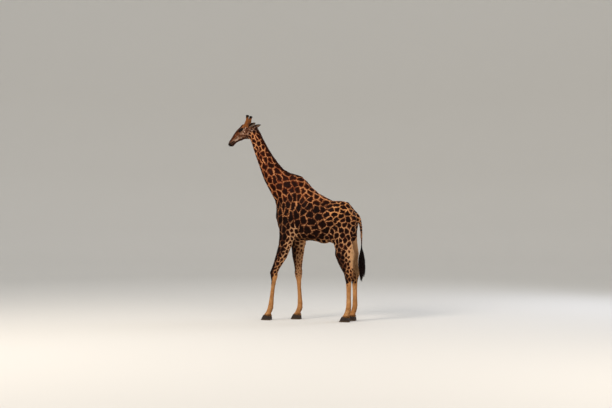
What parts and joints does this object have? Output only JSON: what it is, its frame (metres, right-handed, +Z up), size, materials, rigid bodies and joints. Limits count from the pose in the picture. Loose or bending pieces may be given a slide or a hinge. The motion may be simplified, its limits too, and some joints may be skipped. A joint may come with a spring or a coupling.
{
  "type": "giraffe model",
  "caption": "Still life-size model of a standing giraffe, head raised, a foreleg set forward and the tail hanging. It stands on the flat soles of its hooves.",
  "frame": {"origin": "on the floor, under the middle of the model's bounding box", "axes": "+X the way the animal faces, +Y to its left, +Z up"},
  "size_m": [3.1278, 0.658, 4.4741],
  "materials": {
    "body_coat": "short flat hair over hide",
    "face_coat": "very short flat hair over hide",
    "leg_coat": "short flat hair over hide",
    "mane": "stiff upright hair",
    "tail_tuft": "long coarse hair",
    "horns": "haired skin, black at the tips",
    "hooves": "worn hoof horn",
    "eyes": "wet and glossy"
  },
  "bodies": {
    "root": {"head": "face_coat", "lower_jaw": "face_coat", "neck_upper": "body_coat", "neck_middle": "body_coat", "neck_lower": "body_coat", "shoulders": "body_coat", "barrel": "body_coat", "hindquarters": "body_coat", "tail_dock": "body_coat", "foreleg_left_forearm": "body_coat", "foreleg_left_cannon": "leg_coat", "foreleg_left_pastern": "leg_coat", "foreleg_right_forearm": "body_coat", "foreleg_right_cannon": "leg_coat", "foreleg_right_pastern": "leg_coat", "hindleg_left_thigh": "body_coat", "hindleg_left_cannon": "leg_coat", "hindleg_left_pastern": "leg_coat", "hindleg_right_thigh": "body_coat", "hindleg_right_cannon": "leg_coat", "hindleg_right_pastern": "leg_coat", "ear_left": "face_coat", "eye_left": "eyes", "horn_left": "horns", "ear_right": "face_coat", "eye_right": "eyes", "horn_right": "horns", "mane": "mane", "tail_tuft": "tail_tuft", "foreleg_left_claw_outer": "hooves", "foreleg_left_claw_inner": "hooves", "foreleg_right_claw_outer": "hooves", "foreleg_right_claw_inner": "hooves", "hindleg_left_claw_outer": "hooves", "hindleg_left_claw_inner": "hooves", "hindleg_right_claw_outer": "hooves", "hindleg_right_claw_inner": "hooves"}
  },
  "joints": []
}
